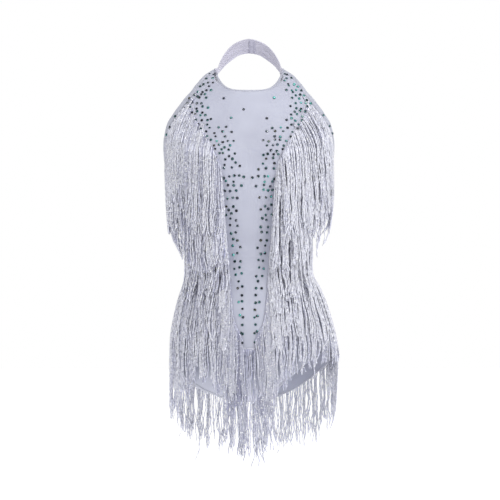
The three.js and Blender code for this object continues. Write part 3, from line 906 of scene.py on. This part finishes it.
def outward_at(points):
    """Level directions that lead away from the form."""
    _, slope = form_outside(points[..., 0], points[..., 1], points[..., 2], 0)
    return unit(slope, 1e-9)


FREE_FROM, FREE_RAMP, POINT_WIDTH = 108, 12, 1.9  # past the waist's edge the tips hang free


def combed(paths, z, drop, comb):
    """Shortens the tips that hang free, so that they end in points."""
    end_x = np.abs(paths[:, -1, 0])
    free = np.clip((end_x - FREE_FROM) / FREE_RAMP, 0, 1)
    short = comb * free * (0.5 + 0.5 * np.cos(end_x / POINT_WIDTH)) ** 0.7
    share_left = (1 - short / drop)[:, None]
    paths[..., 2] = z[:, None] + (paths[..., 2] - z[:, None]) * share_left
    return paths


def wander(reach, fall, loose, under, ribbon, ribbons, to_ribbon, to_clump):
    """How far strands move sideways on their way down, and stand out along with their ribbon."""
    count = len(reach)
    ribbon_wave = rng.uniform(0, 6.28, (3, ribbons))[:, ribbon, None]
    wave = rng.uniform(0, 6.28, (2, count, 1))
    ribbon_length = rng.uniform(50, 95, ribbons)[ribbon, None]
    long_wave, short_wave = rng.uniform(30, 56, (count, 1)), rng.uniform(13, 20, (count, 1))
    bunch = np.clip(reach / 30, 0, 1) * (0.66 - 0.49 * loose) * (1 - 0.4 * fall)
    bunch += 0.3 * loose * fall**2
    bunch *= np.where(under, 0.1 + 0.5 * loose, 1)[:, None]
    sideways = to_ribbon[:, None] * bunch + to_clump[:, None] * 0.3 * (1 - 0.6 * loose) * fall**2
    sideways += (0.3 + 1.3 * fall) * np.sin(reach / ribbon_length * 6.28 + ribbon_wave[0])
    own_wave = (0.08 + 0.4 * fall) * (1 + 2.0 * loose)
    sideways += own_wave * np.sin(reach / long_wave * 6.28 + wave[0])
    sideways += (0.05 + 0.4 * loose * fall) * np.sin(reach / short_wave * 6.28 + wave[1])
    lean = rng.normal(0, 1.5 + 2.0 * loose, (count, 1))
    lean += rng.normal(0, 2.0 + 2.0 * loose, ribbons)[ribbon, None]
    sideways += lean * fall**2
    sideways += rng.normal(0, 2.4, (count, 1)) * np.clip((fall - 0.88) / 0.12, 0, 1) ** 1.6
    proud = 0.4 * (1 + np.sin(reach / ribbon_length * 5.1 + ribbon_wave[2])) * fall
    return sideways[..., None], proud[..., None], wave[0]


def make_fringe(
    name,
    angle,
    z,
    tips,
    lift_at,
    sway,
    loose=0.0,  # 0 hangs in neat ribbons
    # painted light added to the tone, painted shade below 0
    painted_light=0.0,
    under_drop=0.0,  # how much longer the deeper strands are, and their tone, painted shade in the gaps
    painted_gap_tone=0.32,
    relief=1.0,  # how far the ribbons stand out in front of one another
    comb=0.0,  # depth of the points that the free tips end in
    uneven=0.09,  # in tone, from ribbon to ribbon
):
    """A trim from the angle and height of every strand's root and the heights of their tips."""
    count = len(angle)
    roots = form_point(angle, z + TAPE_HEIGHT * rng.uniform(0.6, 0.95, count))
    position = distance_along(form_point(angle, z))
    ribbon, to_ribbon, ribbons = groups(position, RIBBON * (1 - 0.35 * loose))
    clump, to_clump, clumps = groups(position, CLUMP * (1 - 0.3 * loose))
    under = rng.random(count) < UNDER_SHARE * (1 - 0.4 * loose)
    depth = np.where(under, -0.3, relief * (0.5 + rng.uniform(0, 1.1, ribbons)[ribbon]))
    depth += rng.uniform(0, 0.5, count)
    tip_z = tips + rng.normal(0, 6, clumps)[clump] * (1 - 0.5 * loose)
    tip_z += rng.normal(0, 6, ribbons)[ribbon] + np.abs(to_clump) * 0.8 * (1 - 0.7 * loose)
    tip_z += rng.normal(0, 3 + 9 * loose, count)
    tip_z -= (rng.random(count) < 0.04) * rng.uniform(0, 16, count)
    tip_z = np.minimum(tip_z, z - 25) - under * under_drop
    levels = int(np.max(z - tip_z) / STRAND_STEP) + 2
    paths = hang(roots, tip_z, lambda x, z: lift_at(x, z) + depth, sway, levels)
    outward = outward_at(paths)
    aside = np.stack([-outward[..., 1], outward[..., 0]], axis=-1)
    ahead = form_point(angle + 0.5, z)[:, :2] - form_point(angle - 0.5, z)[:, :2]
    aside *= np.sign((aside[:, 0] * ahead).sum(axis=-1))[:, None, None]
    fall = np.linspace(0, 1, levels)
    drop = roots[:, 2] - tip_z
    reach = drop[:, None] * fall
    sideways, proud, wave = wander(
        reach, fall, loose, under, ribbon, ribbons, to_ribbon, to_clump
    )
    paths[..., :2] += aside * sideways + outward * proud
    paths = combed(held_in(settle(paths)), z, drop, comb)
    shade = 0.6 + rng.normal(0, uneven, ribbons)[ribbon] + rng.normal(0, 0.05, clumps)[clump]
    # The deeper strands take the gap tone, painted shade between the ribbons.
    tone = np.where(under, painted_gap_tone, shade - 0.1 * loose) + rng.normal(0, 0.075, count) + painted_light
    # Darker at the top of each strand: painted shade where it leaves its tape.
    tone = tone[:, None] - 0.3 * np.exp(-reach / 9) + 0.06 * np.sin(reach / 23 + wave)
    thickness = STRAND_RADIUS * (1 - 0.2 * loose) * rng.uniform(0.85, 1.15, count)
    piece = strand_mesh(f"strands_{name}", paths, np.clip(tone, 0, 1), thickness)
    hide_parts(f"fringe_{name}")
    header_tape(name, angle, z)


tape_material, nodes, links, shader = new_material("header tape", 0.7, (0.50, 0.505, 0.58))
uv = add_node(nodes, "UVMap")
twill = add_node(nodes, "TexWave", {"Scale": 190}, bands_direction="DIAGONAL")
links.new(uv.outputs["UV"], twill.inputs["Vector"])
bump = add_node(nodes, "Bump", {"Strength": 0.5, "Distance": 0.0003})
links.new(twill.outputs["Fac"], bump.inputs["Height"])
links.new(bump.outputs["Normal"], shader.inputs["Normal"])


def header_tape(name, angle, z):
    """The woven tape that a trim's strands are caught in, a flat strip along their roots."""
    run = distance_along(form_point(angle, z))
    steps = max(int(run[-1] / 3), 8)
    at = np.linspace(0, run[-1], steps + 1)
    tape_angle, tape_z = np.interp(at, run, angle), np.interp(at, run, z)

    def shape(a, d):
        i = np.rint(d * steps).astype(int)
        points = form_point(tape_angle[i], tape_z[i] + TAPE_HEIGHT * a)
        points[:, :2] += outward_at(points) * (0.9 + 0.12 * np.sin(i * 1.7))[:, None]
        return points

    tape = cloth_strip(
        f"tape_{name}", 4, steps, shape, TAPE_HEIGHT, run[-1], tape_material
    )
    thicken(tape, 0.7, 0)


def spread(length, spacing=STRAND_SPACING):
    """Even shares along a tape of this length, one for each strand, with a little unevenness."""
    count = int(length / spacing)
    return np.sort(np.clip((np.arange(count) + rng.uniform(0, 1, count)) / count, 0, 1))


def tape_height_below(trim, x):
    """Height of a trim's tape at this distance from the centre line."""
    x_at, z_at = trim[1], trim[2]
    return through(z_at, np.clip((np.abs(x) - x_at[0]) / (x_at[2] - x_at[0]), 0, 1))


def front_fringe(order, side, word):
    """One trim of the left or right half. Its inner end runs down the edge of the plain centre."""
    name, x_at, z_at, tips_at, sways = FRONT_TRIMS[order]
    half = 0 if side > 0 else 1
    lower = FRONT_TRIMS[order + 1 :]
    angles = [float(form_angle(x, z)) for x, z in zip(x_at, z_at)]
    if name in ("waist", "hip"):
        angles[-1] = 90.0  # these reach the side seam
    share = np.linspace(0, 1, 60)
    line = form_point(through(angles, share), through(z_at, share))
    share = spread(np.linalg.norm(np.diff(line, axis=0), axis=1).sum())
    angle, z, tips = (through(values, share) for values in (angles, z_at, tips_at[half]))
    edge_bottom = lower[0][2][0] if lower else -560
    edge_z = np.linspace(edge_bottom, z_at[0], int((z_at[0] - edge_bottom) / 1.5), endpoint=False)
    angle = np.concatenate([form_angle(inner_edge_x(edge_z), edge_z), angle])
    z = np.concatenate([edge_z, z])
    tips = np.concatenate([np.full(len(edge_z), tips_at[half][0] - 12.0), tips])
    start = 1 - np.clip(np.abs(angle) / np.max(np.abs(angle)), 0, 1)
    left, hip, middle = side > 0, name == "hip", name in ("underbust", "waist")
    make_fringe(
        f"{name}_{word}",
        side * angle,
        z,
        tips,
        lift_at=lambda x, z: layered(x, z, [tape_height_below(trim, x) for trim in lower]),
        sway=side * sways[half] * (0.35 + 1.3 * start),
        # Painted light on the wearer's left, where the key softbox is, and on the underbust and
        # waist; painted shade on the hip trims near the centre. The deeper strands' tone is painted
        # shade on the right and on the left hip, and painted light elsewhere on the left.
        painted_light=(0.09 if left else 0.02) + 0.08 * middle - 0.3 * start**6 * hip,
        under_drop=(18.0 if left else 14.0) * hip,
        painted_gap_tone=(0.3 if hip else 0.64) if left else 0.24,
        relief=0.45 if left else 1.0,
        comb=(54.0 if left else 30.0) * (order < 3),
        uneven=0.07 if left else 0.16,
    )


for word, side in (("left", 1), ("right", -1)):
    for order in range(len(FRONT_TRIMS)):
        front_fringe(order, side, word)

centre_share = spread(90, 1.7)
centre_end = float(form_angle(44, -556))
make_fringe(
    "centre",
    centre_end * (2 * centre_share - 1),
    through((-556, -573, -556), centre_share),
    through((-742, -762, -742), centre_share),
    lift_at=lambda x, z: STRAND_LIFT + 0 * z,
    sway=0,
    loose=0.8,
    # painted shade on the centre trim
    painted_light=-0.14,
)
BACK_FROM, BACK_ROUND = 93, 174  # degrees, from the left side seam round to the right
BACK_TRIMS = (  # name, heights of the tape, heights of the tips, length
    ("back_waist", (-452, -468, -452), (-590, -620, -590), 350),
    ("seat", (-546, -600, -546), (-684, -714, -747, -752, -747, -716, -684), 470),
)
for order, (name, z_at, tips_at, length) in enumerate(BACK_TRIMS):
    share = spread(length, 1.4 + 0.3 * order)
    thinner = 0.2 * order * (share > 0.55)  # the seat's row, towards the right
    share = share[rng.random(len(share)) > thinner]
    below = BACK_TRIMS[order + 1 :]
    make_fringe(
        name,
        BACK_FROM + BACK_ROUND * share,
        through(z_at, share),
        through(tips_at, share),
        lift_at=lambda x, z: layered(x, z, [through(t[1], 0.5 - x / 300) for t in below]),
        sway=0.1 * (share < 0.2),
        loose=0.8 * order,
        # painted light on the seat's strands, which hang in shade where seen through the leg
        # openings
        painted_light=0.3 * order,
    )


# Rhinestones -------------------------------------------------------------------------------
# Round flat-backed glass stones, dark blue-green with a foil that shifts to aqua, are glued to
# the front. They crowd on the shoulders and above the bust, run in loose columns beside the
# plain centre and close in to pairs. Each half has the same rows, every stone a little off.
# Their facet colours carry painted glints and reflections of the lamps.
STONE_ROWS = (  # height, nearest and furthest distance from the centre line, stones
    (-54, 67, 73, 2),
    (-62, 69, 80, 2),
    (-69, 67, 85, 3),
    (-77, 76, 91, 3),
    (-85, 71, 96, 4),
    (-93, 82, 103, 4),
    (-101, 80, 108, 3),
    (-109, 88, 114, 4),
    (-117, 77, 107, 4),
    (-125, 86, 104, 3),
    (-133, 80, 100, 3),
    (-141, 71, 97, 4),
    (-136, 137, 137, 1),
    (-149, 78, 92, 2),
    (-153, 147, 147, 1),
    (-168, 151, 151, 1),
    (-156, 43, 88, 4),
    (-165, 33, 80, 4),
    (-173, 46, 76, 3),
    (-181, 27, 70, 5),
    (-190, 34, 64, 4),
    (-198, 39, 62, 3),
    (-206, 26, 56, 4),
    (-216, 31, 44, 2),
    (-224, 25, 45, 2),
    (-232, 18, 46, 3),
    (-248, 8, 47, 5),
    (-257, 28, 43, 2),
    (-265, 15, 51, 4),
    (-273, 24, 44, 3),
    (-286, 20, 41, 3),
    (-302, 29, 42, 2),
    (-309, 23, 37, 2),
    (-317, 30, 42, 2),
    (-327, 24, 34, 2),
    (-340, 21, 35, 2),
    (-353, 25, 33, 2),
    (-365, 22, 31, 2),
    (-378, 18, 30, 2),
    (-391, 22, 29, 2),
    (-404, 17, 26, 2),
    (-417, 19, 27, 2),
    (-430, 14, 24, 2),
    (-443, 18, 18, 1),
    (-455, 13, 22, 2),
    (-468, 12, 12, 1),
    (-480, 11, 19, 2),
    (-493, 12, 12, 1),
    (-507, 11, 16, 2),
    (-522, 12, 12, 1),
    (-538, 11, 15, 2),
    (-555, 12, 12, 1),
)
LONE_STONES = ((-10, -122), (47, -100), (-47, -101), (33, -139), (-33, -138))
STONE_RADIUS = 2.7
GLUE, TRIM_RISE = 0.12, 3.6  # off the cloth, and more where a stone sits on fringe
STONE_COLOURS = (  # linear colour, share of all stones
    ((0.010, 0.013, 0.022), 0.50),
    ((0.010, 0.036, 0.040), 0.28),
    ((0.018, 0.085, 0.085), 0.13),
    ((0.06, 0.24, 0.22), 0.04),
    ((0.035, 0.032, 0.026), 0.05),
)
FACETS = 8
ring = np.arange(FACETS) * 2 * np.pi / FACETS


def facet_ring(radius, height, turn=0.0):
    angle = ring + turn * np.pi / FACETS
    return np.stack([radius * np.cos(angle), radius * np.sin(angle), height + 0 * ring], axis=-1)


STONE = np.concatenate(
    [facet_ring(0.93, 0), facet_ring(1, 0.2), facet_ring(0.82, 0.48, 1), facet_ring(0.5, 0.66)]
)
stone_faces = [tuple(reversed(range(FACETS))), tuple(range(3 * FACETS, 4 * FACETS))]
for i in range(FACETS):
    j = (i + 1) % FACETS
    stone_faces.append((i, j, FACETS + j, FACETS + i))
    for low, high in ((FACETS, 2 * FACETS), (3 * FACETS, 2 * FACETS)):
        points_up = (low + i, low + j, high + i), (low + j, high + j, high + i)
        stone_faces += [f if low < high else tuple(reversed(f)) for f in points_up]

stone_material, nodes, links, shader = new_material("rhinestone", 0.07)
set_values(shader, {"Metallic": 0.75, "Coat Weight": 0.35, "Coat Roughness": 0.03})
tint = add_node(nodes, "Attribute", attribute_name="facet")
links.new(tint.outputs["Color"], shader.inputs["Base Color"])

stone_x, stone_z = [], []
for z, near, far, count in STONE_ROWS:
    for side in (1, -1):
        spots = np.linspace(near, far, count)
        stone_x += list(side * (spots + rng.normal(0, 1.0, count)))
        stone_z += list(z + rng.normal(0, 1.5, count) - (spots - near) * 0.06 * (z > -160))
for x, z in LONE_STONES:
    stone_x.append(x)
    stone_z.append(z)
stone_x, stone_z = np.array(stone_x), np.array(stone_z)
places = form_point(form_angle(stone_x, stone_z), stone_z)
beside = form_point(form_angle(stone_x + 1, stone_z), stone_z) - places
below = form_point(form_angle(stone_x, stone_z - 1), stone_z - 1) - places
up = np.cross(beside, below)
up *= -np.sign(up[:, 1:2])
up = unit(unit(up) + rng.normal(0, 0.05, up.shape))
across = unit(np.cross(up, rng.normal(0, 1, up.shape)))
axes = np.stack([across, np.cross(up, across), up], axis=1)
radius = STONE_RADIUS * rng.uniform(0.86, 1.1, len(places))
inner = inner_edge_x(stone_z)
on_trim = np.clip((np.abs(stone_x) - inner + 5) / 5, 0, 1)
places = places + up * (GLUE + TRIM_RISE * on_trim)[:, None]
sizes = np.repeat(radius[:, None], 3, 1)
stones = joined(
    "rhinestones", STONE, stone_faces, places, axes, sizes, stone_material
)
kinds = np.array([colour for colour, _ in STONE_COLOURS])
shares = np.array([share for _, share in STONE_COLOURS])
kind = rng.choice(len(kinds), len(places), p=shares / shares.sum())
# Stones on the left shoulder take more of the aqua kinds and may glint on top: painted sparkle.
painted_sparkle_stones = (stone_x > 70) & (stone_z < -70) & (stone_z > -150)
kind[painted_sparkle_stones] = rng.choice([0, 1, 2, 3], painted_sparkle_stones.sum(), p=[0.2, 0.25, 0.3, 0.25])
# Each facet is made brighter or darker at random, and a few turn white or aqua: painted reflections
# and glints.
facet = kinds[kind][:, None, :] * rng.lognormal(0, 0.7, (len(places), len(stone_faces), 1))
painted_glint_roll = rng.random(facet.shape[:2])
painted_glint_roll[:, 1] = np.where(painted_sparkle_stones, painted_glint_roll[:, 1], 0)  # the table facet on top gets no painted glint, but on the left shoulder
facet[painted_glint_roll > 0.965] = (0.85, 0.9, 0.92)
facet[(painted_glint_roll > 0.9) & (painted_glint_roll <= 0.965)] = (0.12, 0.42, 0.40)
colour = stones.data.attributes.new("facet", "FLOAT_COLOR", "FACE")
flat = np.concatenate([facet.reshape(-1, 3), np.ones((facet.shape[0] * facet.shape[1], 1))], axis=1)
colour.data.foreach_set("color", np.clip(flat, 0, 1).astype(np.float32).ravel())


# Camera, light and floor -------------------------------------------------------------------
# The garment hangs above a plain white studio floor, lit softly from all round by four
# softboxes, with a small one inside the seat.
FLOOR_Z = -1.25  # metres, as are the places of the lamps and the camera
floor_bm = bmesh.new()
bmesh.ops.create_grid(floor_bm, x_segments=1, y_segments=1, size=20)
for vertex in floor_bm.verts:
    vertex.co.z = FLOOR_Z
floor_mesh = bpy.data.meshes.new("studio_floor")
floor_bm.to_mesh(floor_mesh)
floor_bm.free()
floor_mesh.shade_smooth()
floor = bpy.data.objects.new("studio_floor", floor_mesh)
bpy.context.scene.collection.objects.link(floor)
floor_material, nodes, links, shader = new_material("white floor", 0.9, (0.9, 0.9, 0.9))
set_values(shader, {"Emission Color": (1, 1, 1, 1), "Emission Strength": 0.55})
floor_mesh.materials.append(floor_material)

world = bpy.data.worlds.new("studio")
world.use_nodes = True
world_nodes, world_links = world.node_tree.nodes, world.node_tree.links
background = world_nodes["Background"]
background.inputs["Color"].default_value = (1, 1, 1, 1)
seen = add_node(world_nodes, "LightPath")  # white where it is seen, softer as a light
strength = add_node(world_nodes, "MapRange", {"To Min": 0.68, "To Max": 1.0})
world_links.new(seen.outputs["Is Camera Ray"], strength.inputs["Value"])
world_links.new(strength.outputs["Result"], background.inputs["Strength"])
bpy.context.scene.world = world
bpy.context.scene.view_settings.view_transform = "Standard"

SOFTBOXES = (  # place, size, power, aim
    ((1.5, -1.6, 0.7), 1.1, 20, (0, -0.1, -0.35)),
    ((-1.5, -1.9, 0.6), 1.3, 6, (0, -0.1, -0.35)),
    ((0.2, -0.9, 1.7), 1.2, 15, (0, -0.05, -0.2)),
    ((0.5, 1.9, 0.5), 1.6, 14, (0, -0.05, -0.4)),
    ((0.0, -0.075, -0.52), 0.07, 0.11, (0.02, 0.02, -0.66)),  # inside, on the seat's lining
)
for number, (spot, size, power, aim) in enumerate(SOFTBOXES):
    lamp = bpy.data.lights.new(f"softbox_{number}", "AREA")
    lamp.size, lamp.energy = size, power
    box = bpy.data.objects.new(f"softbox_{number}", lamp)
    box.location = spot
    box.rotation_euler = (Vector(aim) - Vector(spot)).to_track_quat("-Z", "Y").to_euler()
    bpy.context.scene.collection.objects.link(box)

CAMERA_DISTANCE = 7.0
SENSOR_WIDTH, VIEW_WIDTH = 36, 0.94  # the view's width is at the side seams
VIEW_X, VIEW_Z = 0.0019, -0.3835
camera_data = bpy.data.cameras.new("camera")
camera_data.lens = SENSOR_WIDTH * CAMERA_DISTANCE / VIEW_WIDTH
camera = bpy.data.objects.new("camera", camera_data)
camera.location = (VIEW_X, SIDE_SEAM_Y * MM - CAMERA_DISTANCE, VIEW_Z)
camera.rotation_euler = (np.pi / 2, 0, 0)
bpy.context.scene.collection.objects.link(camera)
bpy.context.scene.camera = camera


# Drawn-in hip ------------------------------------------------------------------------------
# Every piece but the strands, which have it already, takes the slightly drawn-in right hip, and
# the bindings, seams, tapes and fringe are listed by the part they are sewn on.
BACK_TRIMMINGS = ("tape_back", "tape_seat", "strands_back", "strands_seat")
BACK_PIECES = ("binding_open_back", "binding_back", *BACK_TRIMMINGS)
on_front, on_back, on_band = [], [], [overlap]
for piece in list(bpy.context.scene.objects):
    if piece.type != "MESH" or piece.name in frame["nodes"] or piece.name.startswith("studio"):
        continue
    if not piece.name.startswith("strands_"):
        places = np.zeros(len(piece.data.vertices) * 3)
        piece.data.vertices.foreach_get("co", places)
        places = settle(places.reshape(-1, 3) / MM) * MM
        piece.data.vertices.foreach_set("co", places.ravel())
        piece.data.update()
    if piece.name.startswith(BACK_PIECES):
        on_back.append(piece)
    elif piece.name == "overlap_stitches":
        on_band.append(piece)
    elif not piece.name.startswith(("front_cloth", "back_cloth", "band_cloth", "nape_overlap")):
        on_front.append(piece)
